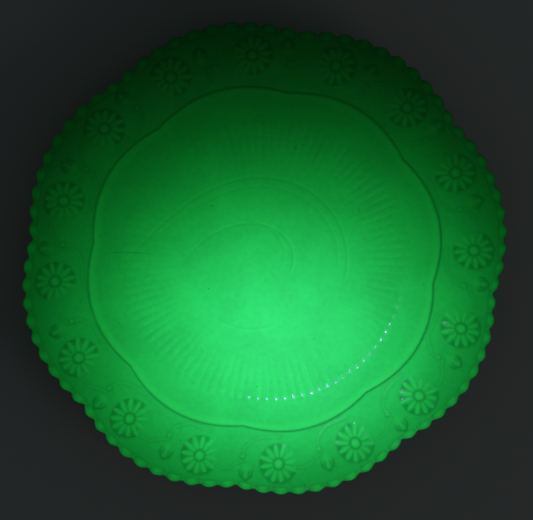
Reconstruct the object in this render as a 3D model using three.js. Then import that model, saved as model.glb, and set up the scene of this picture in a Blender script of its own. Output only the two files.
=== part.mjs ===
// A footed dish of pressed uranium glass, lying on its foot ring. Millimetres, +Z up, with the
// origin at the centre of the foot ring's flat underside. The dish is one piece of glass: a round
// floor, a lobed wall that ends in a bead and a crease, and a rising brim whose edge is cut into
// small scallops.
import * as THREE from "three";

// Plan of the dish. Radii of lobed lines are given at the cusps, where they are smallest.
const LOBES = 8;
const SCALLOPS_PER_LOBE = 10;
const STEPS_PER_SCALLOP = 3; // on the scalloped edge; elsewhere a ring has one step per scallop
const FLOOR_RADIUS = 67; // the floor is round up to here, and the wall outside it is lobed
const CREASE_RADIUS = 81; // the lobed crease between the shoulder bead and the brim
const CREASE_LOBE_DEPTH = 3.5; // how much further out the crease is in the middle of a lobe
const EDGE_RADIUS = 109.5;
const EDGE_LOBE_DEPTH = 4.6;
const SCALLOP_DEPTH = 1.8; // from the notch between two scallops to the crest of one
const SCALLOP_BAND = 3; // the scallops fade out over this distance inside the edge
const MEAN_OF_ARC = 2 / Math.PI; // the mean of |sin|, so scallops leave the mean edge where it is

// Heights above the table, in the direction of a cusp.
const FLOOR_HEIGHT = 9.9;
const GLASS_THICKNESS = 5;
const CREASE_HEIGHT = 14.9;
const EDGE_HEIGHT = 23;
const LOBE_CLIMB = 0.25; // a lobe's shift outwards also carries its line up the slope by this much

// The foot ring under the floor.
const FOOT_INNER_RADIUS = 50;
const FOOT_OUTER_RADIUS = 53.5;
const FOOT_DRAFT = 1; // each side of the ring leans by this much, so it leaves the mould

const GLASS_COLOUR = 0x2fd873;

// The height of the upper surface: floor, bend, wall, shoulder bead, crease, brim and round edge.
function upperSurface() {
  return [
    [0, FLOOR_HEIGHT],
    [30, FLOOR_HEIGHT],
    [FLOOR_RADIUS - 8, FLOOR_HEIGHT + 1],
    [FLOOR_RADIUS - 1, FLOOR_HEIGHT + 1.8],
    [FLOOR_RADIUS + 2, FLOOR_HEIGHT + 2.5],
    [CREASE_RADIUS - 3.5, CREASE_HEIGHT + 0.5],
    [CREASE_RADIUS - 1.6, CREASE_HEIGHT + 0.9],
    [CREASE_RADIUS - 0.7, CREASE_HEIGHT + 0.7],
    [CREASE_RADIUS, CREASE_HEIGHT],
    [CREASE_RADIUS + 1, CREASE_HEIGHT + 0.6],
    [CREASE_RADIUS + 7, CREASE_HEIGHT + 3.1],
    [CREASE_RADIUS + 14, CREASE_HEIGHT + 5.4],
    [CREASE_RADIUS + 21, CREASE_HEIGHT + 7.2],
    [EDGE_RADIUS - 2, EDGE_HEIGHT],
    [EDGE_RADIUS - 0.4, EDGE_HEIGHT - 0.6],
    [EDGE_RADIUS, EDGE_HEIGHT - 1.5],
  ];
}

// The underside from the edge back to the axis, with the foot ring standing down to the table.
function lowerSurface() {
  const underFloor = FLOOR_HEIGHT - GLASS_THICKNESS;
  return [
    [EDGE_RADIUS - 0.4, EDGE_HEIGHT - 2.5],
    [EDGE_RADIUS - 2, EDGE_HEIGHT - 3.2],
    [CREASE_RADIUS + 17, CREASE_HEIGHT + 1.9],
    [CREASE_RADIUS + 7, CREASE_HEIGHT - 1.4],
    [CREASE_RADIUS, CREASE_HEIGHT - 4],
    [CREASE_RADIUS - 8, underFloor + 3.6],
    [FLOOR_RADIUS, underFloor + 1.4],
    [FLOOR_RADIUS - 8, underFloor + 0.5],
    [FOOT_OUTER_RADIUS + FOOT_DRAFT, underFloor + 0.3],
    [FOOT_OUTER_RADIUS, 0],
    [FOOT_INNER_RADIUS, 0],
    [FOOT_INNER_RADIUS - FOOT_DRAFT, underFloor],
    [0, underFloor],
  ];
}

// How far the lobes push a line outwards in the middle of a lobe, for a line whose radius at the
// cusps is given: nothing on the round floor, and the full depth at the edge.
function lobeDepth(radius) {
  if (radius <= FLOOR_RADIUS) return 0;
  if (radius <= CREASE_RADIUS) {
    return (CREASE_LOBE_DEPTH * (radius - FLOOR_RADIUS)) / (CREASE_RADIUS - FLOOR_RADIUS);
  }
  const outward = (radius - CREASE_RADIUS) / (EDGE_RADIUS - CREASE_RADIUS);
  return THREE.MathUtils.lerp(CREASE_LOBE_DEPTH, EDGE_LOBE_DEPTH, outward);
}

// How much of the scallops shows at a radius: all at the edge, none inside the scalloped band.
function scallopShare(radius) {
  return Math.max(0, 1 - (EDGE_RADIUS - radius) / SCALLOP_BAND);
}

// How far the lobes push a line outwards in one direction. A lobe is a round arc that meets the
// next one in an inward cusp.
function lobeShift(radius, angle) {
  return Math.abs(Math.sin((angle * LOBES) / 2)) * lobeDepth(radius);
}

// How far the scallops push it outwards. Every lobe starts and ends with a scallop's notch.
function scallopShift(radius, angle) {
  const arc = Math.abs(Math.sin((angle * LOBES * SCALLOPS_PER_LOBE) / 2));
  return (arc - MEAN_OF_ARC) * SCALLOP_DEPTH * scallopShare(radius);
}

// The points of one ring of the surface, for one point of the profile. On the axis it is one point.
function ringPoints([radius, height]) {
  if (radius === 0) return [new THREE.Vector3(0, 0, height)];
  const scallops = LOBES * SCALLOPS_PER_LOBE;
  const steps = scallopShare(radius) > 0 ? scallops * STEPS_PER_SCALLOP : scallops;
  return Array.from({ length: steps }, (_, step) => {
    const angle = (2 * Math.PI * step) / steps;
    const shift = lobeShift(radius, angle);
    const plan = radius + shift + scallopShift(radius, angle);
    const climb = LOBE_CLIMB * shift;
    return new THREE.Vector3(plan * Math.cos(angle), plan * Math.sin(angle), height + climb);
  });
}

// The triangles between two neighbouring rings, where one has a whole multiple of the other's
// steps. The walk goes round both rings at once and always steps on the one that is behind.
function bandFaces(lower, upper) {
  const faces = [];
  const at = (ring, step) => ring.first + (step % ring.count);
  let low = 0;
  let high = 0;
  const lowSteps = lower.count > 1 ? lower.count : 0;
  const highSteps = upper.count > 1 ? upper.count : 0;
  while (low < lowSteps || high < highSteps) {
    const stepLow = high >= highSteps || (low < lowSteps && low * highSteps <= high * lowSteps);
    if (stepLow) {
      faces.push(at(lower, low), at(lower, low + 1), at(upper, high));
      low += 1;
    } else {
      faces.push(at(lower, low), at(upper, high + 1), at(upper, high));
      high += 1;
    }
  }
  return faces;
}

// Joins the rings of the whole profile, from the underside's middle to the floor's middle.
function dishGeometry() {
  const profile = [...lowerSurface().reverse(), ...upperSurface().reverse()];
  const points = [];
  const rings = profile.map((corner) => {
    const ring = ringPoints(corner);
    points.push(...ring);
    return { first: points.length - ring.length, count: ring.length };
  });
  const faces = rings.slice(1).flatMap((ring, i) => bandFaces(rings[i], ring));
  const geometry = new THREE.BufferGeometry().setFromPoints(points).setIndex(faces);
  geometry.computeVertexNormals();
  return geometry;
}

const glass = new THREE.MeshStandardMaterial({ color: GLASS_COLOUR, roughness: 0.12, metalness: 0 });
const dish = new THREE.Mesh(dishGeometry(), glass);
dish.name = "glass_dish";

const group = new THREE.Group();
group.add(dish);

export default group;
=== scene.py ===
"""A pressed uranium-glass dish with daisy sprays, lying on its foot ring under a violet lamp.

The dish is one pressing: a fluted round well, a lobed wall that ends in a bead and a crease, and
a rising brim with sixteen daisy sprays and a scalloped edge. Lengths are millimetres in the classes
of the dish and its glass, and metres in the meshes, the lamps and the studio.
"""

from __future__ import annotations

import logging
import math
from dataclasses import dataclass, field
from enum import Enum
from functools import partial, reduce
from typing import Any

import bpy
import numpy as np
from mathutils import Matrix, Vector

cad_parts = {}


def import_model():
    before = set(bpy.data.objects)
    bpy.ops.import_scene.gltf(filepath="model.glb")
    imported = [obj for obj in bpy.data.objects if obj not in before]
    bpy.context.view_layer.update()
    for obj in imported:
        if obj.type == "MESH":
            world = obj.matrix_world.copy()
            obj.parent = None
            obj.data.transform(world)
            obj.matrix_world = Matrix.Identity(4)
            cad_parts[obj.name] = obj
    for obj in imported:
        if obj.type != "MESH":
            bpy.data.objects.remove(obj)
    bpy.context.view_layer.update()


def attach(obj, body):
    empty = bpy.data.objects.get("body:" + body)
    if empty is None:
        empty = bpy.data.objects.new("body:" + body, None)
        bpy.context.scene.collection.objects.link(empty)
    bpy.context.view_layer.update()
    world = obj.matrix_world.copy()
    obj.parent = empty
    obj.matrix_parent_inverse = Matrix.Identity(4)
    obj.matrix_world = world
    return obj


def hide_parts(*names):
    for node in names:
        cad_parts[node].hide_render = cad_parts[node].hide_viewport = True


LOG = logging.getLogger("uranium_glass_dish")
MM = 0.001
DISH_NODE = "glass_dish"
SEED = 7

Point = tuple[float, float]
Triple = tuple[float, float, float]
Colour = tuple[float, float, float, float]
Ring = tuple[float, float, int]  # a ring of the blank: its station, its height and its steps
# A relief's groove and swell are the strengths of its painted shade and its painted highlight.
Relief = tuple[np.ndarray, np.ndarray, np.ndarray]  # height, groove and swell at each point
Socket = bpy.types.NodeSocket
Value = Any  # a node's output socket, or a plain number or vector for an input


class Side(Enum):
    """Which face of the glass a ring of the blank belongs to."""

    UPPER = 1.0
    LOWER = 0.0


class Mark(Enum):
    """The attributes of each vertex that tell the pressing and the finish what it belongs to. Groove
    holds the strength of painted shade in recesses, and swell that of painted highlight on raised
    parts.
    """

    SIDE = "side"
    GROOVE = "groove"
    SWELL = "swell"
    PATTERN = "pattern"


def linear(hex_colour: str) -> Colour:
    """Turns an sRGB hex colour into linear RGBA.

    Args:
        hex_colour: Six hex digits, such as "2fd873".

    Returns:
        Linear red, green and blue, with alpha 1.
    """
    parts = [int(hex_colour[i : i + 2], 16) / 255 for i in (0, 2, 4)]
    red, green, blue = (
        c / 12.92 if c <= 0.04045 else ((c + 0.055) / 1.055) ** 2.4 for c in parts
    )
    return red, green, blue, 1.0


def add(
    tree: bpy.types.NodeTree, kind: str, inputs: dict | None = None, **settings: Any
) -> bpy.types.Node:
    """Adds a node to a tree, with its settings and its inputs set or linked.

    Args:
        tree: The node tree that gets the node.
        kind: The node's type name.
        inputs: Input name or number to a value, or to an output socket to link from.
        settings: The node's own properties.

    Returns:
        The new node.
    """
    node = tree.nodes.new(kind)
    for name, value in settings.items():
        setattr(node, name, value)
    for name, value in (inputs or {}).items():
        if isinstance(value, Socket):
            tree.links.new(value, node.inputs[name])
        else:
            node.inputs[name].default_value = value
    return node


@dataclass(frozen=True)
class Sums:
    """Writes the formulas of shapes and patterns into a node tree."""

    tree: bpy.types.NodeTree

    def do(self, operation: str, *values: Value) -> Socket:
        """One step of a formula.

        Args:
            operation: What is done, such as "ADD".
            values: What it is done to, in order.

        Returns:
            The result's socket.
        """
        inputs = dict(enumerate(values))
        return add(self.tree, "ShaderNodeMath", inputs, operation=operation).outputs[0]

    def total(self, *values: Value) -> Socket:
        """The sum of several values."""
        return reduce(partial(self.do, "ADD"), values)

    def product(self, *values: Value) -> Socket:
        """The product of several values."""
        return reduce(partial(self.do, "MULTIPLY"), values)

    def largest(self, *values: Value) -> Socket:
        """The largest of several values."""
        return reduce(partial(self.do, "MAXIMUM"), values)

    def ramp(
        self,
        value: Value,
        start: Value,
        end: Value,
        low: Value = 0.0,
        high: Value = 1.0,
        smooth: bool = False,
    ) -> Socket:
        """Maps a value from start..end to low..high, and holds it there outside.

        Args:
            value: What is mapped.
            start: Where it begins.
            end: Where it ends.
            low: The result at start.
            high: The result at end.
            smooth: Eases in and out of both ends.

        Returns:
            The result's socket.
        """
        return add(
            self.tree,
            "ShaderNodeMapRange",
            {"Value": value, "From Min": start, "From Max": end, "To Min": low, "To Max": high},
            interpolation_type="SMOOTHSTEP" if smooth else "LINEAR",
            clamp=True,
        ).outputs[0]


def monotone_curve(points: list[Point], stations: np.ndarray) -> np.ndarray:
    """A smooth curve through points that never overshoots them.

    Args:
        points: (station, height) pairs, in order of station.
        stations: Where the curve is wanted.

    Returns:
        The heights there.
    """
    x, y = np.array(points, float).T
    gap, rise = np.diff(x), np.diff(y) / np.diff(x)
    slope = np.zeros(len(x))
    same = rise[:-1] * rise[1:] > 0
    before, after = 2 * gap[1:] + gap[:-1], gap[1:] + 2 * gap[:-1]
    blended = np.divide(
        before + after,
        before / np.where(same, rise[:-1], 1) + after / np.where(same, rise[1:], 1),
    )
    slope[1:-1] = np.where(same, blended, 0)
    slope[0], slope[-1] = rise[0], rise[-1]
    i = np.clip(np.searchsorted(x, stations) - 1, 0, len(gap) - 1)
    t = (stations - x[i]) / gap[i]
    ends = y[i] * (1 + 2 * t) * (1 - t) ** 2 + y[i + 1] * t**2 * (3 - 2 * t)
    return ends + gap[i] * (slope[i] * t * (1 - t) ** 2 - slope[i + 1] * t**2 * (1 - t))


def plain_mesh(
    name: str,
    points: np.ndarray,
    faces: list[tuple[int, ...]],
    marks: dict[Mark, np.ndarray],
) -> bpy.types.Mesh:
    """A mesh from points in millimetres, with its marks as point attributes.

    Args:
        name: The mesh's name.
        points: One row of x, y and z for each vertex, in millimetres.
        faces: Vertex numbers, counter-clockwise from outside.
        marks: One value for each vertex, for each mark.

    Returns:
        The mesh, in metres.
    """
    mesh = bpy.data.meshes.new(name)
    mesh.from_pydata((points * MM).tolist(), [], faces)
    for mark, values in marks.items():
        layer = mesh.attributes.new(mark.value, "FLOAT", "POINT")
        layer.data.foreach_set("value", np.asarray(values, np.float32))
    mesh.update()
    return mesh


def smooth_step(value: np.ndarray, start: float, end: float) -> np.ndarray:
    """Eases from 0 at start to 1 at end, and holds outside them."""
    t = np.clip((value - start) / (end - start), 0, 1)
    return t * t * (3 - 2 * t)


def soft_band(value: np.ndarray, inner: Point, outer: Point) -> np.ndarray:
    """Eases from 0 to 1 between the inner limits, and from 1 to 0 between the outer ones."""
    return smooth_step(value, *inner) * smooth_step(value, *outer)


def domed(reach: np.ndarray, fullness: float = 0.6) -> np.ndarray:
    """A rounded swelling: 1 in the middle, and 0 from a reach of 1 outwards."""
    return np.clip(1 - reach**2, 0, 1) ** fullness


@dataclass
class TurnedBlank:
    """The dish before its lobes and its pattern: a plain closed turned shape of stitched rings.

    Radii of lines that the lobes move are given at the cusps, where they are smallest. A ring's
    station is its radius on the blank.
    """

    floor_radius: float = 67.0
    crease_radius: float = 81.0
    edge_radius: float = 109.5
    floor_height: float = 9.9
    glass_thickness: float = 5.0
    crease_height: float = 14.9
    edge_height: float = 23.0
    foot_inner_radius: float = 50.0
    foot_outer_radius: float = 53.5
    well_steps: int = 576
    flute_steps: int = 960
    crease_steps: int = 480
    brim_steps: int = 1040
    under_steps: int = 240

    def upper_heights(self) -> list[Point]:
        """The profile of the upper face: floor, bend, wall, bead, crease, brim and round edge.

        Returns:
            (station, height) pairs, from the axis to the edge.
        """
        f, c, e = self.floor_radius, self.crease_radius, self.edge_radius
        low, crease, high = self.floor_height, self.crease_height, self.edge_height
        return [
            (0, low),
            (30, low),
            (f - 23, low + 0.12),
            (f - 13, low + 0.62),
            (f - 7, low + 1.12),
            (f - 3, low + 1.54),
            (f - 1, low + 1.86),
            (f, low + 2.09),
            (f + 2, low + 2.7),
            (c - 3.4, crease + 0.52),
            (c - 1.5, crease + 0.82),
            (c - 0.5, crease + 0.55),
            (c, crease),
            (c + 0.3, crease + 0.1),
            (c + 14, crease + 4.42),
            (e - 3.4, high - 0.4),
            (e - 2, high - 0.03),
            (e - 1, high - 0.15),
            (e - 0.4, high - 0.6),
            (e, high - 1.5),
        ]

    def upper_rings(self) -> list[Ring]:
        """The rings of the upper face, closest where its profile or its pattern turns quickly.

        Returns:
            The rings, from the edge to the axis.
        """
        f, c, e = self.floor_radius, self.crease_radius, self.edge_radius
        bands = [
            (np.array([0.0, 3, 7, 12]), self.well_steps // 4),
            (np.array([16.0, 20, 25]), self.well_steps // 2),
            (np.arange(29, f - 9, 2.4), self.well_steps),
            (np.arange(f - 8, f - 2, 2), self.flute_steps),
            (np.arange(f - 1.4, f + 3.4, 0.45), self.flute_steps),
            (np.arange(f + 4, c - 4, 1.3), self.crease_steps),
            (np.arange(c - 3.9, c + 0.1, 0.3), self.crease_steps),
            (np.arange(c + 0.3, e - 1.9, 0.55), self.brim_steps),
            (np.array([e - 1.45, e - 0.9, e - 0.5, e - 0.2]), self.brim_steps),
        ]
        rings = [
            (float(s), float(h), steps)
            for stations, steps in bands
            for s, h in zip(stations, monotone_curve(self.upper_heights(), stations))
        ]
        return rings[::-1]

    def lower_rings(self) -> list[Ring]:
        """The rings of the underside: its middle, the foot ring, the slope and the rolled edge.

        Returns:
            The rings, from the axis to the edge.
        """
        c, e = self.crease_radius, self.edge_radius
        under = self.floor_height - self.glass_thickness
        inner, outer = self.foot_inner_radius, self.foot_outer_radius
        centre = [(0.0, under), (6.0, under), (14.0, under), (24.0, under), (36.0, under)]
        foot = [
            (inner - 2.2, under),
            (inner - 1.4, under - 0.15),
            (inner - 0.9, under - 0.9),
            (inner - 0.5, 1.8),
            (inner - 0.1, 0.5),
            (inner + 0.2, 0.12),
            (inner + 0.7, 0),
            (outer - 0.7, 0),
            (outer - 0.2, 0.12),
            (outer + 0.1, 0.5),
            (outer + 0.5, 1.8),
            (outer + 0.9, under - 0.6),
            (outer + 1.4, under + 0.15),
            (outer + 2.2, under + 0.33),
        ]
        slope = [
            (self.floor_radius - 8, under + 0.5),
            (self.floor_radius, under + 1.4),
            (c - 8, under + 3.6),
            (c, self.crease_height - 4),
            (c + 7, self.crease_height - 1.4),
            (c + 17, self.crease_height + 1.9),
            (e - 2, self.edge_height - 3.2),
        ]
        stations = np.concatenate([np.arange(57, c + 17, 3.4), np.arange(c + 18, e - 2, 2.0)])
        slope_rings = zip(stations.tolist(), monotone_curve([foot[-1], *slope], stations))
        roll = [(1.8, -3.17), (0.9, -2.83), (0.3, -2.3), (0, -1.5)]
        return [
            *((s, float(h), self.under_steps) for s, h in [*centre, *foot, *slope_rings]),
            *((e - inset, self.edge_height + drop, self.brim_steps) for inset, drop in roll),
        ]

    def build(self) -> bpy.types.Mesh:
        """Stitches the rings into one closed mesh.

        Returns:
            The blank, with its faces pointing outwards and the side of each vertex marked.
        """
        points: list[np.ndarray] = []
        sides: list[np.ndarray] = []
        rings: list[tuple[int, int]] = []
        first = 0
        for side, (station, height, steps) in [
            *((Side.LOWER, ring) for ring in self.lower_rings()),
            *((Side.UPPER, ring) for ring in self.upper_rings()),
        ]:
            count = steps if station > 0 else 1
            angle = 2 * np.pi * np.arange(count) / count
            x, y = station * np.cos(angle), station * np.sin(angle)
            points.append(np.stack([x, y, np.full(count, height)], 1))
            sides.append(np.full(count, side.value))
            rings.append((first, count))
            first += count
        faces = [face for low, high in zip(rings, rings[1:]) for face in self.stitch(low, high)]
        marks = {Mark.SIDE: np.concatenate(sides)}
        return plain_mesh("turned_blank", np.concatenate(points), faces, marks)

    @staticmethod
    def stitch(low: tuple[int, int], high: tuple[int, int]) -> list[tuple[int, ...]]:
        """Joins two neighbouring rings, which may have different numbers of steps.

        Args:
            low: The first vertex and the number of vertices of one ring.
            high: The same of the next ring.

        Returns:
            The faces between them.
        """
        (a, low_count), (b, high_count) = low, high
        if low_count == high_count:
            ahead = [(i, (i + 1) % low_count) for i in range(low_count)]
            return [(a + i, a + j, b + j, b + i) for i, j in ahead]
        # The walk goes round both rings and steps on the one behind. A single point never steps.
        low_steps = low_count if low_count > 1 else 0
        high_steps = high_count if high_count > 1 else 0
        faces: list[tuple[int, ...]] = []
        i = j = 0
        while i < low_steps or j < high_steps:
            if j >= high_steps or (i < low_steps and i * high_steps <= j * low_steps):
                faces.append((a + i % low_count, a + (i + 1) % low_count, b + j % high_count))
                i += 1
            else:
                faces.append((a + i % low_count, b + (j + 1) % high_count, b + j % high_count))
                j += 1
        return faces


@dataclass
class DaisySpray:
    """One spray of the border: a daisy, a bud on a curved stem, and a tendril to the next daisy.

    The spray lies in plan with its daisy's centre on +Y. Angles run clockwise from it, in degrees.
    Each part gives its height, and the strength of its painted shade in grooves and of its painted
    highlight on swells, from 0 to 1.
    """

    ring_radius: float = 98.3
    petals: int = 12
    petal_turn: float = -5.0
    petal_start: float = 2.75
    petal_rise: float = 0.9
    petal_end: float = 9.05
    petal_tip: float = 1.5
    petal_tip_squareness: float = 2.2
    petal_half_width: float = 1.28
    petal_least_width: float = 0.05
    petal_wedge: float = 0.9
    petal_variation: float = 0.1
    petal_height: float = 0.27
    petal_fullness: float = 0.75
    petal_painted_highlight: float = 0.6
    gap_depth: float = 0.12
    gap_painted_shade: float = 0.5
    gap_tip_painted_shade: float = 0.4
    gap_tip_band: Point = (5.8, 7.8)
    ground_band: Point = (9.9, 8.9)
    boss_radius: float = 2.15
    boss_height: float = 0.34
    boss_ring_radius: float = 3.4
    boss_ring_painted_shade: float = 0.75
    bud_angle: float = 9.1
    bud_radius: float = 101.2
    bud_half_width: float = 2.5
    bud_half_length: float = 3.7
    bud_flare: float = 0.16
    bud_fan_centre: float = 1.6
    bud_tips_per_turn: float = 15.0
    bud_height: float = 0.3
    bud_cut_band: Point = (-1.2, 1.0)
    bud_cut: float = 0.55
    bud_cut_painted_shade: float = 0.8
    bud_painted_highlight: float = 0.6
    bud_arch_depth: float = 0.12
    bud_arch_inner: Point = (0.98, 1.1)
    bud_arch_outer: Point = (1.5, 1.18)
    bud_arch_band: Point = (-1.5, 1.0)
    calyx_angle: float = 10.3
    calyx_radius: float = 94.75
    calyx_size: float = 1.2
    calyx_height: float = 0.3
    calyx_ring_inner: Point = (1.0, 1.25)
    calyx_ring_outer: Point = (1.9, 1.45)
    calyx_ring_painted_shade: float = 0.7
    calyx_painted_highlight: float = 0.5
    stem_half_width: float = 0.5
    stem_height: float = 0.08
    stem_fullness: float = 0.7
    stem_side_inner: Point = (0.45, 0.8)
    stem_side_outer: Point = (1.35, 0.95)
    stem_side_painted_shade: float = 0.42
    stem_top_painted_shade: float = 0.25
    stem_painted_highlight: float = 0.3
    stem_steps: int = 12
    swell_clearing: float = 1.5
    grid_step: float = 0.3
    stamp_across: Point = (-11.4, 32.4)
    stamp_outward: Point = (83.4, 109.8)
    stem: list[Point] = field(
        default_factory=lambda: [
            (-1.3, 86.0),
            (1.9, 85.75),
            (4.3, 85.75),
            (6.6, 86.5),
            (8.4, 88.4),
            (10.0, 90.8),
            (10.3, 94.75),
        ]
    )
    tendril: list[Point] = field(
        default_factory=lambda: [
            (10.1, 97.0),
            (11.9, 98.2),
            (13.6, 100.5),
            (15.7, 101.5),
            (17.1, 101.0),
        ]
    )

    @staticmethod
    def place(angle: float, radius: float) -> np.ndarray:
        """The plan point at a clockwise angle in degrees from +Y and a radius."""
        return radius * np.array([math.sin(math.radians(angle)), math.cos(math.radians(angle))])

    def daisy(self, plan: np.ndarray) -> Relief:
        """Petals round a domed boss, on a slightly sunk ground.

        Args:
            plan: Points in plan, one row each.

        Returns:
            Height, groove and swell at each point.
        """
        x, y = plan[:, 0], plan[:, 1] - self.ring_radius
        r = np.hypot(x, y)
        pitch = 2 * np.pi / self.petals
        angle = np.arctan2(x, y) - math.radians(self.petal_turn)
        off = (angle + pitch / 2) % pitch - pitch / 2
        across, along = r * np.sin(off), r * np.cos(off)
        # The mould was cut by hand, so no two petals are quite the same.
        chance = np.random.default_rng(SEED)
        petal_number = np.floor((angle + pitch / 2) / pitch).astype(int) % self.petals
        changes = 1 + chance.uniform(-1, 0.5, (3, self.petals)) * self.petal_variation
        stout, long, dark = changes[:, petal_number]
        wedge = self.petal_wedge * along * math.tan(pitch / 2)
        width = stout * np.minimum(self.petal_half_width, wedge)
        tip = np.clip((along - self.petal_end * long + self.petal_tip) / self.petal_tip, 0, 1)
        width = width * np.sqrt(1 - np.minimum(tip, 0.999) ** self.petal_tip_squareness)
        petal = domed(across / np.maximum(width, self.petal_least_width), self.petal_fullness)
        petal *= smooth_step(along, self.petal_start, self.petal_start + self.petal_rise)
        petal *= along < self.petal_end * long
        ground = smooth_step(r, *self.ground_band)
        outer = self.petal_height * petal - self.gap_depth * (1 - petal) * ground
        boss = domed(r / self.boss_radius)
        height = np.where(boss > 0, self.boss_height * boss - self.gap_depth * (1 - boss), outer)
        # The gaps between the petals, varying a little from petal to petal, and the ring round the
        # boss get painted shade; petals and boss get painted highlight.
        shade = self.gap_painted_shade + self.gap_tip_painted_shade * smooth_step(r, *self.gap_tip_band)
        ring = self.boss_ring_painted_shade * (1 - np.maximum(petal, boss))
        groove = np.where(r < self.boss_ring_radius, ring, (1 - petal) * ground * shade * dark**3)
        return height, groove, np.maximum(petal * self.petal_painted_highlight, boss)

    def bud(self, plan: np.ndarray) -> Relief:
        """A closed bud with three petal tips, pointing outwards, in a fine arch.

        Args:
            plan: Points in plan, one row each.

        Returns:
            Height, groove and swell at each point.
        """
        outward = self.place(self.bud_angle, 1.0)
        offset = plan - self.place(self.bud_angle, self.bud_radius)
        along, across = offset @ outward, offset @ np.array([outward[1], -outward[0]])
        half_width = self.bud_half_width * (1 + self.bud_flare * along / self.bud_half_length)
        fan = np.arctan2(across, along + self.bud_half_length * self.bud_fan_centre)
        # The outer half splits into the tips of three petals, with a cut between each two.
        tips = 0.5 + 0.5 * np.cos(fan * self.bud_tips_per_turn)
        half_length = self.bud_half_length * np.where(along > 0, 0.88 + 0.16 * tips, 1)
        reach = np.hypot(across / half_width, along / half_length)
        body = domed(reach)
        cut = smooth_step(along, *self.bud_cut_band) * (1 - tips)
        arch = soft_band(reach, self.bud_arch_inner, self.bud_arch_outer)
        arch = arch * smooth_step(along, *self.bud_arch_band)
        height = self.bud_height * body * (1 - self.bud_cut * cut) - self.bud_arch_depth * arch
        # The arch and the cuts between the tips get painted shade, and the bud's body gets painted
        # highlight.
        groove = np.maximum(arch, self.bud_cut_painted_shade * cut * (body > 0.05) * body**0.3)
        return height, groove, body * self.bud_painted_highlight * (1 - cut)

    def calyx(self, plan: np.ndarray) -> Relief:
        """The small round dot under the bud, in a fine ring.

        Args:
            plan: Points in plan, one row each.

        Returns:
            Height, groove and swell at each point.
        """
        away = np.linalg.norm(plan - self.place(self.calyx_angle, self.calyx_radius), axis=1)
        dot = domed(away / self.calyx_size)
        ring = soft_band(away, self.calyx_ring_inner, self.calyx_ring_outer)
        # The fine ring gets painted shade, and the dot gets painted highlight.
        return self.calyx_height * dot, self.calyx_ring_painted_shade * ring, self.calyx_painted_highlight * dot

    def raised_line(self, plan: np.ndarray, line: list[Point]) -> Relief:
        """A low raised line, such as a stem, between two fine grooves.

        Args:
            plan: Points in plan, one row each.
            line: (angle, radius) of the points that it curves through.

        Returns:
            Height, groove and swell at each point.
        """
        knots = np.array([self.place(angle, radius) for angle, radius in line])
        t = np.linspace(0, len(knots) - 1, self.stem_steps * len(knots))
        i = np.clip(t.astype(int), 0, len(knots) - 2)
        u = (t - i)[:, None]
        before, after = knots[np.maximum(i - 1, 0)], knots[np.minimum(i + 2, len(knots) - 1)]
        a, b = knots[i], knots[i + 1]
        path = 0.5 * (
            2 * a
            + (b - before) * u
            + (2 * before - 5 * a + 4 * b - after) * u**2
            + (3 * a - before - 3 * b + after) * u**3
        )
        start, step = path[:-1], np.diff(path, axis=0)
        offset = plan[:, None, :] - start[None]
        share = np.clip((offset * step).sum(2) / (step**2).sum(1), 0, 1)
        away = np.linalg.norm(offset - share[..., None] * step[None], axis=2).min(1)
        ridge = domed(away / self.stem_half_width, self.stem_fullness)
        # The line's sides, and a little of its top, get painted shade; its ridge gets painted
        # highlight.
        beside = soft_band(away, self.stem_side_inner, self.stem_side_outer)
        groove = np.maximum(self.stem_side_painted_shade * beside, self.stem_top_painted_shade * ridge)
        return self.stem_height * ridge, groove, self.stem_painted_highlight * ridge

    def build(self) -> bpy.types.Object:
        """Lays the spray out on a fine grid, as a mould cutter's punch would leave it.

        Returns:
            The stamp: a sheet with the spray's height, and its grooves and swells marked.
        """
        across = np.arange(*self.stamp_across, self.grid_step)
        outward = np.arange(*self.stamp_outward, self.grid_step)
        plan = np.stack([grid.ravel() for grid in np.meshgrid(across, outward)], 1)
        parts = [
            self.daisy(plan),
            self.bud(plan),
            self.calyx(plan),
            self.raised_line(plan, self.stem),
            self.raised_line(plan, self.tendril),
        ]
        heights, grooves, swells = (np.array(layer) for layer in zip(*parts))
        height = np.where(heights.max(0) > 0, heights.max(0), heights.min(0))
        swell = swells.max(0)
        # The painted highlight on raised parts takes the painted shade off them.
        groove = grooves.max(0) * (1 - np.clip(swell * self.swell_clearing, 0, 1))
        columns, rows = len(across), len(outward)
        corner = np.arange(rows * columns).reshape(rows, columns)
        faces = np.stack([corner[:-1, :-1], corner[:-1, 1:], corner[1:, 1:], corner[1:, :-1]], -1)
        points = np.column_stack([plan, height])
        marks = {Mark.GROOVE: groove, Mark.SWELL: swell}
        mesh = plain_mesh("spray_stamp", points, faces.reshape(-1, 4).tolist(), marks)
        stamp = bpy.data.objects.new("spray_stamp", mesh)
        bpy.context.scene.collection.objects.link(stamp)
        return stamp


@dataclass(frozen=True)
class Vertex:
    """A vertex of the turned blank, as the pressing's tree sees it."""

    station: Socket
    azimuth: Socket
    height: Socket
    upper: Socket


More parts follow.
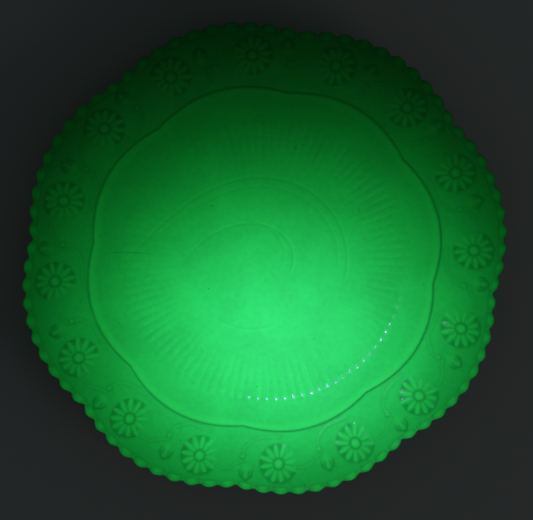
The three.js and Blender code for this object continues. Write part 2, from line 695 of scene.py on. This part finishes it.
@dataclass
class Pressing:
    """The mould: it gives the blank its lobes, scallops, flutes, edge pads and sprays."""

    blank: TurnedBlank = field(default_factory=TurnedBlank)
    spray: DaisySpray = field(default_factory=DaisySpray)
    lobes: int = 8
    lobe_depth_at_crease: float = 3.5
    lobe_depth_at_edge: float = 4.6
    lobe_climb: float = 0.25
    scallops_per_lobe: int = 10
    scallop_depth: float = 1.8
    scallop_band: float = 3.0
    pad_depth: float = 0.22
    pad_band: float = 4.2
    pad_rise: float = 1.3
    pad_roundness: float = 0.55
    pad_border_painted_shade: float = 2.8
    flutes: int = 96
    flute_depth: float = 0.36
    flute_start: float = 34.0
    flute_full: float = 60.0
    scoop_start: float = 66.8
    scoop_end: float = 69.7
    scoop_round: float = 1.0
    sprays: int = 16
    stamp_clearance: float = 20.0
    crease_line: Point = (0.8, 0.1)
    crease_painted_shade: float = 0.76
    bead_inner: Point = (4.2, 2.4)
    bead_outer: Point = (0.5, 1.2)
    bead_painted_highlight: float = 0.65

    def sizes(self) -> dict[str, float | int]:
        """The sizes of the pattern.

        Returns:
            The tree's named inputs, in metres and counts.
        """
        return {
            "Lobes": self.lobes,
            "Lobe depth at crease": self.lobe_depth_at_crease * MM,
            "Lobe depth at edge": self.lobe_depth_at_edge * MM,
            "Lobe climb": self.lobe_climb,
            "Floor radius": self.blank.floor_radius * MM,
            "Crease radius": self.blank.crease_radius * MM,
            "Edge radius": self.blank.edge_radius * MM,
            "Scallops per lobe": self.scallops_per_lobe,
            "Scallop depth": self.scallop_depth * MM,
            "Scallop band": self.scallop_band * MM,
            "Pad depth": self.pad_depth * MM,
            "Pad band": self.pad_band * MM,
            "Pad rise": self.pad_rise * MM,
            "Flutes": self.flutes,
            "Flute depth": self.flute_depth * MM,
            "Flute start": self.flute_start * MM,
            "Flute full": self.flute_full * MM,
            "Scoop start": self.scoop_start * MM,
            "Scoop end": self.scoop_end * MM,
            "Scoop round": self.scoop_round * MM,
            "Sprays": self.sprays,
        }

    @staticmethod
    def lobe_shift(sums: Sums, given: Value, vertex: Vertex) -> Socket:
        """The lobes: round arcs that meet in inward cusps.

        Args:
            sums: Formulas in the pressing's tree.
            given: The tree's inputs.
            vertex: The vertex of the blank.

        Returns:
            How far out its lobe pushes the vertex.
        """
        half_turns = sums.product(vertex.azimuth, given["Lobes"], 0.5)
        arc = sums.do("ABSOLUTE", sums.do("SINE", half_turns))
        floor, crease, edge = (given[f"{line} radius"] for line in ("Floor", "Crease", "Edge"))
        at_crease = given["Lobe depth at crease"]
        extra = sums.do("SUBTRACT", given["Lobe depth at edge"], at_crease)
        depth = sums.total(
            sums.ramp(vertex.station, floor, crease, 0.0, at_crease),
            sums.ramp(vertex.station, crease, edge, 0.0, extra),
        )
        return sums.product(arc, depth)

    def scallops(self, sums: Sums, given: Value, vertex: Vertex) -> tuple[Socket, Socket]:
        """The scallops of the edge, each with a shallow rounded pad in its upper face.

        Args:
            sums: Formulas in the pressing's tree.
            given: The tree's inputs.
            vertex: The vertex of the blank.

        Returns:
            How far out they push the vertex, and how far into a pad it is, from 0 to 1.
        """
        half_turns = sums.product(vertex.azimuth, given["Lobes"], given["Scallops per lobe"], 0.5)
        arc = sums.do("ABSOLUTE", sums.do("SINE", half_turns))
        band_start = sums.do("SUBTRACT", given["Edge radius"], given["Scallop band"])
        share = sums.ramp(vertex.station, band_start, given["Edge radius"])
        # Less the mean of |sine|, so that the scallops leave the edge's mean line where it is.
        past_mean = sums.do("SUBTRACT", arc, 2 / math.pi)
        shift = sums.product(past_mean, given["Scallop depth"], share)
        pad_start = sums.do("SUBTRACT", given["Edge radius"], given["Pad band"])
        pad_full = sums.total(pad_start, given["Pad rise"])
        inward = sums.ramp(vertex.station, pad_start, pad_full, smooth=True)
        pad = sums.product(sums.do("POWER", arc, self.pad_roundness), inward, vertex.upper)
        return shift, pad

    @staticmethod
    def flute_share(sums: Sums, given: Value, vertex: Vertex) -> Socket:
        """The flutes: concave, with a rib between each two, out to round scoops at the bend.

        Args:
            sums: Formulas in the pressing's tree.
            given: The tree's inputs.
            vertex: The vertex of the blank.

        Returns:
            How far into a flute the vertex is, from 0 to 1.
        """
        half_turns = sums.product(vertex.azimuth, given["Flutes"], 0.5)
        flute = sums.do("ABSOLUTE", sums.do("COSINE", half_turns))
        rise = sums.ramp(vertex.station, given["Flute start"], given["Flute full"], smooth=True)
        beside = sums.product(sums.do("SUBTRACT", 1.0, flute), given["Scoop round"])
        beyond = sums.total(vertex.station, beside)
        fall = sums.ramp(beyond, given["Scoop start"], given["Scoop end"], 1.0, 0.0, smooth=True)
        return sums.product(flute, rise, fall, vertex.upper)

    @staticmethod
    def spray_ring(sums: Sums, given: Value) -> Socket:
        """Sets copies of the spray's stamp in a ring.

        Args:
            sums: Formulas in the pressing's tree.
            given: The tree's inputs.

        Returns:
            The ring of stamps.
        """
        tree = sums.tree
        line = add(tree, "GeometryNodeMeshLine", {"Count": given["Sprays"], "Offset": (0, 0, 0)})
        pitch = sums.do("DIVIDE", -2 * math.pi, given["Sprays"])
        index = add(tree, "GeometryNodeInputIndex").outputs[0]
        turn = sums.product(sums.total(index, 0.5), pitch)
        euler = add(tree, "ShaderNodeCombineXYZ", {"Z": turn}).outputs[0]
        rotation = add(tree, "FunctionNodeEulerToRotation", {0: euler}).outputs[0]
        stamp = add(tree, "GeometryNodeObjectInfo", {"Object": given["Spray stamp"]}).outputs
        copies = add(
            tree,
            "GeometryNodeInstanceOnPoints",
            {"Points": line.outputs[0], "Instance": stamp["Geometry"], "Rotation": rotation},
        )
        return add(tree, "GeometryNodeRealizeInstances", {0: copies.outputs[0]}).outputs[0]

    def meet_sprays(
        self, sums: Sums, ring: Socket, x: Socket, y: Socket, upper: Socket
    ) -> tuple[Socket, dict[Mark, Socket]]:
        """Drops a plumb line through the ring of stamps onto each vertex of the upper face.

        Args:
            sums: Formulas in the pressing's tree.
            ring: The ring of stamps.
            x: Where the vertex is in plan.
            y: The same, the other way.
            upper: 1 on the upper face, and 0 on the underside.

        Returns:
            The relief that the line meets, and the marks on it.
        """
        tree = sums.tree
        top = self.stamp_clearance * MM
        above = add(tree, "ShaderNodeCombineXYZ", {"X": x, "Y": y, "Z": top}).outputs[0]
        kind = {"data_type": "FLOAT"}
        met: dict[Mark, Socket] = {}
        for mark in (Mark.GROOVE, Mark.SWELL):
            value = add(tree, "GeometryNodeInputNamedAttribute", {"Name": mark.value}, **kind)
            line = {
                "Target Geometry": ring,
                "Attribute": value.outputs[0],
                "Source Position": above,
                "Ray Direction": (0, 0, -1),
                "Ray Length": 2 * top,
            }
            ray = add(tree, "GeometryNodeRaycast", line, **kind).outputs
            met[mark] = sums.product(ray["Attribute"], ray["Is Hit"], upper)
        hit = add(tree, "ShaderNodeSeparateXYZ", {0: ray["Hit Position"]}).outputs[2]
        return sums.product(hit, ray["Is Hit"], upper), met

    def marks(
        self, sums: Sums, given: Value, vertex: Vertex, pad: Socket, met: dict[Mark, Socket]
    ) -> dict[Mark, Socket]:
        """The marks for the finish.

        The crease and the pads' borders are grooves, which get painted shade. The bead and the pads
        are swells, which get painted highlight.

        Args:
            sums: Formulas in the pressing's tree.
            given: The tree's inputs.
            vertex: The vertex of the blank.
            pad: How far into a pad it is.
            met: The sprays' own marks.

        Returns:
            The value of each mark.
        """
        # Painted shade along the crease and on the pads' borders; painted highlight on the bead and
        # the pads.
        off_crease = sums.do("SUBTRACT", given["Crease radius"], vertex.station)
        line_end, line_core = (size * MM for size in self.crease_line)
        beside = sums.do("ABSOLUTE", off_crease)
        crease = sums.ramp(beside, line_end, line_core, smooth=True)
        sides = [
            sums.ramp(off_crease, start * MM, end * MM, smooth=True)
            for start, end in (self.bead_outer, self.bead_inner)
        ]
        bead = sums.product(*sides, vertex.upper, self.bead_painted_highlight)
        border = sums.product(pad, sums.do("SUBTRACT", 1.0, pad), self.pad_border_painted_shade)
        crease = sums.product(crease, vertex.upper, self.crease_painted_shade)
        groove, swell = met[Mark.GROOVE], met[Mark.SWELL]
        return {
            Mark.GROOVE: sums.largest(crease, border, groove),
            Mark.SWELL: sums.largest(bead, pad, swell),
            Mark.PATTERN: sums.largest(groove, swell),
        }

    def tree(self) -> bpy.types.NodeTree:
        """Builds the pressing as a Geometry Nodes tree.

        Returns:
            The tree, whose named inputs are the blank, the spray's stamp, the glass and the sizes.
        """
        tree = bpy.data.node_groups.new("dish_pressing", "GeometryNodeTree")
        panel = tree.interface
        panel.new_socket("Geometry", in_out="INPUT", socket_type="NodeSocketGeometry")
        panel.new_socket("Spray stamp", in_out="INPUT", socket_type="NodeSocketObject")
        panel.new_socket("Glass", in_out="INPUT", socket_type="NodeSocketMaterial")
        for name, value in self.sizes().items():
            kind = "NodeSocketInt" if isinstance(value, int) else "NodeSocketFloat"
            panel.new_socket(name, in_out="INPUT", socket_type=kind)
        panel.new_socket("Geometry", in_out="OUTPUT", socket_type="NodeSocketGeometry")
        given = add(tree, "NodeGroupInput").outputs
        sums = Sums(tree)
        position = add(tree, "GeometryNodeInputPosition").outputs[0]
        at = add(tree, "ShaderNodeSeparateXYZ", {0: position}).outputs
        square = sums.total(sums.product(at[0], at[0]), sums.product(at[1], at[1]))
        side = {"Name": Mark.SIDE.value}
        vertex = Vertex(
            station=sums.do("SQRT", square),
            azimuth=sums.do("ARCTAN2", at[1], at[0]),
            height=at[2],
            upper=add(tree, "GeometryNodeInputNamedAttribute", side, data_type="FLOAT").outputs[0],
        )

        lobe_shift = self.lobe_shift(sums, given, vertex)
        scallop_shift, pad = self.scallops(sums, given, vertex)
        flutes = self.flute_share(sums, given, vertex)
        plan = sums.total(vertex.station, lobe_shift, scallop_shift)
        x = sums.product(plan, sums.do("COSINE", vertex.azimuth))
        y = sums.product(plan, sums.do("SINE", vertex.azimuth))
        relief, met = self.meet_sprays(sums, self.spray_ring(sums, given), x, y, vertex.upper)
        # A lobe's shift outwards also carries its line up the slope a little.
        climb = sums.product(lobe_shift, given["Lobe climb"])
        pad_cut = sums.product(pad, given["Pad depth"])
        flute_cut = sums.product(flutes, given["Flute depth"])
        raised = sums.total(vertex.height, climb, relief)
        height = sums.do("SUBTRACT", raised, sums.total(pad_cut, flute_cut))
        place = add(tree, "ShaderNodeCombineXYZ", {"X": x, "Y": y, "Z": height}).outputs[0]

        shape: Value = given["Geometry"]
        for mark, value in self.marks(sums, given, vertex, pad, met).items():
            shape = add(
                tree,
                "GeometryNodeStoreNamedAttribute",
                {"Geometry": shape, "Name": mark.value, "Value": value},
                data_type="FLOAT",
                domain="POINT",
            ).outputs[0]
        for kind, inputs in (
            ("GeometryNodeSetPosition", {"Position": place}),
            ("GeometryNodeSetShadeSmooth", {}),
            ("GeometryNodeRealizeInstances", {}),
            ("GeometryNodeSetMaterial", {"Material": given["Glass"]}),
        ):
            shape = add(tree, kind, {0: shape, **inputs}).outputs[0]
        add(tree, "NodeGroupOutput", {"Geometry": shape})
        return tree

    def build(self, name: str, glass: bpy.types.Material) -> bpy.types.Object:
        """Presses the blank and returns the finished dish as a plain mesh.

        Args:
            name: The finished object's name.
            glass: The glass that it is made of.

        Returns:
            The dish, at the origin, with no modifier left.
        """
        stamp = self.spray.build()
        blank = bpy.data.objects.new("blank", self.blank.build())
        bpy.context.scene.collection.objects.link(blank)
        tree = self.tree()
        modifier = blank.modifiers.new("pressing", "NODES")
        modifier.node_group = tree
        given = {"Spray stamp": stamp, "Glass": glass, **self.sizes()}
        for item in tree.interface.items_tree:
            if item.in_out == "INPUT" and item.name in given:
                modifier[item.identifier] = given[item.name]
        graph = bpy.context.evaluated_depsgraph_get()
        mesh = bpy.data.meshes.new_from_object(
            blank.evaluated_get(graph), preserve_all_data_layers=True, depsgraph=graph
        )
        mesh.name = name
        dish = bpy.data.objects.new(name, mesh)
        bpy.context.scene.collection.objects.link(dish)
        for tool in (blank, stamp):
            bpy.data.objects.remove(tool)
        return dish


@dataclass(frozen=True)
class Cord:
    """A thin curved line in the glass, where two folds of the melt met in the mould.

    It winds round the dish's middle, from its first radius towards its last, which it nears within
    a few times its settling angle. Angles run clockwise from +Y, in degrees.
    """

    first_angle: float
    turn: float
    first_radius: float
    last_radius: float
    settle: float
    strength: float = 1.0


@dataclass(frozen=True)
class UraniumGlass:
    """Pressed glass coloured with a little uranium oxide.

    Under a violet lamp it glows green all through, so its shading is soft. Its colour carries
    painted light of that glow: painted highlight on its thick raised parts, and painted shade in its
    grooves and towards its thin edge. The surface is fire-polished: smooth, with a slow ripple.
    Inside it are cords, a mould seam and a few seeds.
    """

    body_colour: str = "14a044"
    deep_and_shade_colour: str = "04541a"
    cord_and_highlight_colour: str = "22b850"
    glow_colour: str = "20e060"
    glow: float = 0.002
    roughness: float = 0.1
    relief_roughness: float = 0.2
    relief_band: Point = (0.02, 0.2)
    refraction: float = 1.52
    specular: float = 0.3
    scatter: Triple = (0.35, 1.0, 0.55)
    scatter_scale: float = 3.0
    groove_painted_shade: float = 0.5
    swell_painted_highlight: float = 0.32
    cloud_size: float = 38.0
    cloud_swirl: float = 1.2
    cloud_band: Point = (0.35, 0.7)
    cloud_tint: float = 0.15
    fleck_size: float = 2.2
    fleck_band: Point = (0.4, 0.7)
    fleck_tint: float = 0.1
    edge_shade_from: float = 90.0
    edge_shade_to: float = 112.0
    edge_painted_shade: float = 0.24
    cord_half_width: float = 0.9
    cord_ease: float = 18.0
    cord_gap: float = 1.3
    cord_tint: float = 0.15
    seam_angle: float = 267.1
    seam_from: float = 54.0
    seam_to: float = 75.0
    seam_ease: Point = (2.0, 4.0)
    seam_half_width: float = 0.35
    seam_tint: float = 0.5
    seed_spacing: float = 48.0
    seed_radius: float = 0.5
    seed_core: float = 0.4
    seed_tint: float = 0.7
    ripple_size: float = 11.0
    ripple_depth: float = 0.03
    cords: tuple[Cord, ...] = (
        Cord(-104.0, 212.0, 74.0, 40.0, 27.0),
        Cord(-92.0, 190.0, 60.0, 35.5, 27.0, 0.6),
        Cord(-99.0, 215.0, 40.0, 13.5, 52.0),
        Cord(-45.0, 175.0, 27.0, 7.5, 60.0, 0.5),
        Cord(153.0, 70.0, 30.0, 39.0, 40.0, 0.7),
        Cord(-27.0, 55.0, 63.0, 59.5, 12.0, 0.5),
    )

    def build(self) -> bpy.types.Material:
        """Mixes the glass, on the piece's own coordinates and marks.

        Returns:
            The material.
        """
        material = bpy.data.materials.new("uranium_glass")
        material.use_nodes = True
        tree = material.node_tree
        tree.nodes.clear()
        sums = Sums(tree)
        place = add(tree, "ShaderNodeTexCoord").outputs["Object"]
        at = add(tree, "ShaderNodeSeparateXYZ", {0: place}).outputs
        square = sums.total(sums.product(at[0], at[0]), sums.product(at[1], at[1]))
        radius = sums.do("SQRT", square)
        groove, swell, pattern = (
            add(tree, "ShaderNodeAttribute", attribute_name=mark.value).outputs["Fac"]
            for mark in (Mark.GROOVE, Mark.SWELL, Mark.PATTERN)
        )
        # The deep colour serves the glass's own clouds, cords, seam and seeds, and the painted
        # shade; the bright one serves the cords' light lines and the painted highlight.
        deep, bright = linear(self.deep_and_shade_colour), linear(self.cord_and_highlight_colour)
        tints = [(self.unevenness(sums, place), deep)]
        for cord in self.cords:
            light_line, dark_line = self.cord_lines(sums, at, radius, cord)
            tints += [(light_line, bright), (dark_line, deep)]
        # Painted shade, darker towards the edge: it stands in for the weaker glow of the thinner
        # glass.
        thin = sums.ramp(radius, self.edge_shade_from * MM, self.edge_shade_to * MM, 0.0, self.edge_painted_shade)
        tints += [
            (self.flaws(sums, place, at), deep),
            (thin, deep),
            # Painted highlight on the raised parts, and painted shade in the grooves.
            (sums.product(swell, self.swell_painted_highlight), bright),
            (sums.product(groove, self.groove_painted_shade), deep),
        ]
        colour: Value = linear(self.body_colour)
        for share, tint in tints:
            mix = {0: share, 6: colour, 7: tint}
            colour = add(tree, "ShaderNodeMix", mix, data_type="RGBA").outputs[2]
        # The pattern keeps a little of the mould's dull skin, which the fire took off elsewhere.
        dullness = sums.ramp(pattern, *self.relief_band, self.roughness, self.relief_roughness)
        shader = add(
            tree,
            "ShaderNodeBsdfPrincipled",
            {
                "Base Color": colour,
                "Roughness": dullness,
                "IOR": self.refraction,
                "Specular IOR Level": self.specular,
                "Subsurface Weight": 1.0,
                "Subsurface Radius": self.scatter,
                "Subsurface Scale": self.scatter_scale * MM,
                "Emission Color": linear(self.glow_colour),
                "Emission Strength": self.glow,
                "Normal": self.ripple(tree, place),
            },
        )
        add(tree, "ShaderNodeOutputMaterial", {"Surface": shader.outputs[0]})
        return material

    def unevenness(self, sums: Sums, place: Socket) -> Socket:
        """Slow clouds and fine flecks, where the melt was not quite even.

        Args:
            sums: Formulas in the material's tree.
            place: The point on the piece.

        Returns:
            How much of the deep colour they bring.
        """
        parts = []
        for size, swirl, band, tint in (
            (self.cloud_size, self.cloud_swirl, self.cloud_band, self.cloud_tint),
            (self.fleck_size, 0.0, self.fleck_band, self.fleck_tint),
        ):
            inputs = {"Vector": place, "Scale": 1 / (size * MM), "Detail": 2.0, "Distortion": swirl}
            noise = add(sums.tree, "ShaderNodeTexNoise", inputs).outputs["Fac"]
            parts.append(sums.ramp(noise, *band, 0.0, tint))
        return sums.total(*parts)

    def cord_lines(self, sums: Sums, at: Value, radius: Socket, cord: Cord) -> tuple[Socket, Socket]:
        """The light line of a cord and the dark one beside it.

        Args:
            sums: Formulas in the material's tree.
            at: The point's x, y and z.
            radius: Its distance from the axis.
            cord: Where the line runs.

        Returns:
            How strong the light line and the dark line are.
        """
        bearing = sums.do("ARCTAN2", at[0], at[1])
        past = sums.do("SUBTRACT", bearing, math.radians(cord.first_angle))
        angle = sums.do("FLOORED_MODULO", past, 2 * math.pi)
        decay = sums.do("EXPONENT", sums.do("DIVIDE", angle, -math.radians(cord.settle)))
        extra = (cord.first_radius - cord.last_radius) * MM
        line = sums.total(sums.product(decay, extra), cord.last_radius * MM)
        turn, ease = math.radians(cord.turn), math.radians(self.cord_ease)
        shown = sums.product(
            sums.ramp(angle, 0.0, ease, smooth=True),
            sums.ramp(angle, turn - ease, turn, 1.0, 0.0, smooth=True),
            self.cord_tint * cord.strength,
        )
        half = self.cord_half_width * MM
        away = sums.do("SUBTRACT", radius, line)
        from_light = sums.do("ABSOLUTE", away)
        from_dark = sums.do("ABSOLUTE", sums.total(away, self.cord_gap * half))
        light, dark = (
            sums.product(sums.ramp(gap, half, 0.0, smooth=True), shown)
            for gap in (from_light, from_dark)
        )
        return light, dark

    def flaws(self, sums: Sums, place: Socket, at: Value) -> Socket:
        """The short dark mark of the mould's seam, and a few seeds.

        Args:
            sums: Formulas in the material's tree.
            place: The point on the piece.
            at: Its x, y and z.

        Returns:
            How dark they are.
        """
        bearing = math.radians(self.seam_angle)
        east, north = math.sin(bearing), math.cos(bearing)
        beside = sums.total(sums.product(at[0], north), sums.product(at[1], -east))
        along = sums.total(sums.product(at[0], east), sums.product(at[1], north))
        start, end = self.seam_from, self.seam_to
        ease_in, ease_out = self.seam_ease
        seam = sums.product(
            sums.ramp(sums.do("ABSOLUTE", beside), self.seam_half_width * MM, 0.0),
            sums.ramp(along, start * MM, (start + ease_in) * MM),
            sums.ramp(along, end * MM, (end - ease_out) * MM),
            self.seam_tint,
        )
        cells = {"Vector": place, "Scale": 1 / (self.seed_spacing * MM)}
        away = add(sums.tree, "ShaderNodeTexVoronoi", cells, voronoi_dimensions="2D").outputs[0]
        seed_size = self.seed_radius / self.seed_spacing
        seed = sums.ramp(away, seed_size, self.seed_core * seed_size)
        return sums.largest(seam, sums.product(seed, self.seed_tint))

    def ripple(self, tree: bpy.types.NodeTree, place: Socket) -> Socket:
        """The slow waviness of fire-polished glass.

        Args:
            tree: The material's tree.
            place: The point on the piece.

        Returns:
            The waved surface's normal.
        """
        waves = {"Vector": place, "Scale": 1 / (self.ripple_size * MM), "Detail": 1.0}
        height = add(tree, "ShaderNodeTexNoise", waves).outputs["Fac"]
        bump = {"Height": height, "Strength": 1.0, "Distance": self.ripple_depth * MM}
        return add(tree, "ShaderNodeBump", bump).outputs[0]


@dataclass(frozen=True)
class MattPaint:
    """The plain pale paint of the studio floor."""

    colour: str = "d8d8d4"
    roughness: float = 0.9

    def build(self) -> bpy.types.Material:
        """Mixes the paint, one plain colour.

        Returns:
            The material.
        """
        material = bpy.data.materials.new("matt_paint")
        material.use_nodes = True
        tree = material.node_tree
        tree.nodes.clear()
        given = {"Base Color": linear(self.colour), "Roughness": self.roughness}
        shader = add(tree, "ShaderNodeBsdfPrincipled", given)
        add(tree, "ShaderNodeOutputMaterial", {"Surface": shader.outputs[0]})
        return material


def in_place(data: bpy.types.ID, right: Vector, back: Vector, place: Vector) -> bpy.types.Object:
    """Puts a lamp or a camera in its place.

    Args:
        data: The lamp or the camera.
        right: The unit direction of its right side.
        back: The unit direction that it looks or shines away from.
        place: Where it stands.

    Returns:
        The object that holds it, linked to the scene.
    """
    holder = bpy.data.objects.new(data.name, data)
    turn = Matrix((right, back.cross(right), back)).transposed().to_4x4()
    holder.matrix_world = Matrix.Translation(place) @ turn
    bpy.context.scene.collection.objects.link(holder)
    return holder


@dataclass(frozen=True)
class VioletLamp:
    """A narrow violet lamp that excites the glass and, like all such lamps, lights little else.

    What comes back from the glass is green, so the lamp is given the colours of the light that it
    sets free: a bright core and a greener edge. A weak violet leak makes the glints in the well.
    """

    place: Triple = (-0.171, 0.1092, 0.6175)
    target: Triple = (0.0155, -0.0407, 0.012)
    wide_way: Triple = (0.992, 0.127, 0.0)
    half_widths: Point = (0.0568, 0.049)
    reach: float = 0.65
    power: float = 51.0
    radius: float = 0.004
    cone: float = 60.0
    edge_colour: Colour = (0.3, 1.0, 0.5, 1.0)
    core_colour: Colour = (2.3, 1.0, 1.6, 1.0)
    leak_place: Triple = (-0.1736, 0.1716, 0.6026)
    leak_target: Triple = (0.007, -0.006, 0.012)
    leak_cone: float = 14.3
    leak_blend: float = 0.12
    leak_power: float = 4.2
    leak_colour: Triple = (0.42, 0.08, 1.0)

    def build(self, lit: bpy.types.Collection) -> None:
        """Adds the lamp and its leak.

        Args:
            lit: What they light.
        """
        lamp = bpy.data.lights.new("violet_lamp", "SPOT")
        lamp.energy = self.power
        lamp.shadow_soft_size = self.radius
        lamp.spot_size = math.radians(self.cone)
        lamp.spot_blend = 1.0
        self.shape_beam(lamp)
        leak = bpy.data.lights.new("violet_leak", "SPOT")
        leak.energy = self.leak_power
        leak.color = self.leak_colour
        leak.shadow_soft_size = self.radius
        leak.spot_size = math.radians(self.leak_cone)
        leak.spot_blend = self.leak_blend
        for data, place, target in (
            (lamp, Vector(self.place), Vector(self.target)),
            (leak, Vector(self.leak_place), Vector(self.leak_target)),
        ):
            back = (place - target).normalized()
            wide = Vector(self.wide_way)
            holder = in_place(data, (wide - back * wide.dot(back)).normalized(), back, place)
            # The lamp only makes the glass glow, and the leak only glints on it.
            holder.visible_glossy = data is leak
            holder.visible_diffuse = data is lamp
            holder.light_linking.receiver_collection = lit

    def shape_beam(self, lamp: bpy.types.Light) -> None:
        """Makes the beam an oval one that fades like a bell, with its colours from core to edge.

        Args:
            lamp: The lamp whose beam it is.
        """
        lamp.use_nodes = True
        tree = lamp.node_tree
        sums = Sums(tree)
        normal = add(tree, "ShaderNodeTexCoord").outputs["Normal"]
        away = add(tree, "ShaderNodeSeparateXYZ", {0: normal}).outputs
        across, along = (
            sums.do("DIVIDE", away[i], self.half_widths[i] / self.reach) for i in (0, 1)
        )
        square = sums.total(sums.product(across, across), sums.product(along, along))
        fall = sums.do("EXPONENT", sums.product(square, -0.5))
        mix = {0: fall, 6: self.edge_colour, 7: self.core_colour}
        colour = add(tree, "ShaderNodeMix", mix, data_type="RGBA").outputs[2]
        emission = tree.nodes["Emission"]
        tree.links.new(colour, emission.inputs["Color"])
        tree.links.new(fall, emission.inputs["Strength"])


@dataclass(frozen=True)
class Studio:
    """The floor, the lights and the camera."""

    floor_half_width: float = 3.0
    room_colour: Colour = (0.8, 0.95, 1.0, 1.0)
    room_strength: float = 0.022
    soft_box_place: Triple = (1.9, -0.8, 0.8)
    soft_box_size: float = 1.2
    soft_box_power: float = 1.1
    camera_back: Triple = (-0.0853, 0.2099, 0.974)
    camera_up: Triple = (-0.1175, 0.9686, -0.2191)
    camera_aim: Triple = (0.0, 0.0, 0.0203)
    camera_distance: float = 0.687
    camera_slide: Point = (0.00028, 0.00285)
    camera_near: float = 0.01
    lens: float = 99.2
    sensor: float = 36.0

    def floor(self) -> None:
        """A plain pale floor."""
        s = self.floor_half_width
        mesh = bpy.data.meshes.new("floor")
        mesh.from_pydata([(-s, -s, 0), (s, -s, 0), (s, s, 0), (-s, s, 0)], [], [(0, 1, 2, 3)])
        mesh.materials.append(MattPaint().build())
        plate = bpy.data.objects.new("studio_floor", mesh)
        bpy.context.scene.collection.objects.link(plate)

    def lights(self, dish: bpy.types.Object) -> None:
        """The dim room, a soft box at the side, and the violet lamp over the dish.

        Args:
            dish: The glass that the violet lamp excites.
        """
        scene = bpy.context.scene
        world = bpy.data.worlds.new("room")
        world.use_nodes = True
        background = world.node_tree.nodes["Background"]
        background.inputs["Color"].default_value = self.room_colour
        background.inputs["Strength"].default_value = self.room_strength
        scene.world = world
        lit = bpy.data.collections.new("lit_by_violet_lamp")
        scene.collection.children.link(lit)
        lit.objects.link(dish)
        VioletLamp().build(lit)
        area = bpy.data.lights.new("soft_box", "AREA")
        area.shape = "DISK"
        area.size = self.soft_box_size
        area.energy = self.soft_box_power
        box = bpy.data.objects.new("soft_box", area)
        place = Vector(self.soft_box_place)
        turn = place.to_track_quat("Z", "Y").to_matrix().to_4x4()
        box.matrix_world = Matrix.Translation(place) @ turn
        box.visible_glossy = False
        scene.collection.objects.link(box)

    def camera(self) -> None:
        """A camera that looks down on the dish, a little from behind."""
        back = Vector(self.camera_back).normalized()
        right = Vector(self.camera_up).cross(back).normalized()
        data = bpy.data.cameras.new("camera")
        data.lens = self.lens
        data.sensor_width = self.sensor
        data.clip_start = self.camera_near
        slide_right, slide_up = self.camera_slide
        slide = back.cross(right) * slide_up + right * slide_right
        place = Vector(self.camera_aim) + back * self.camera_distance + slide
        bpy.context.scene.camera = in_place(data, right, back, place)


def main() -> None:
    """Builds the dish on the frame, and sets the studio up."""
    logging.basicConfig(level=logging.INFO, format="%(name)s: %(message)s")
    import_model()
    glass = UraniumGlass().build()
    dish = Pressing().build("uranium_glass_dish", glass)
    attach(dish, "root")
    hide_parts(DISH_NODE)
    dish.data.calc_loop_triangles()
    LOG.info("%s: %d triangles", dish.name, len(dish.data.loop_triangles))
    studio = Studio()
    studio.floor()
    studio.lights(dish)
    studio.camera()
    bpy.context.scene.view_settings.view_transform = "Standard"


if __name__ == "__main__":
    main()
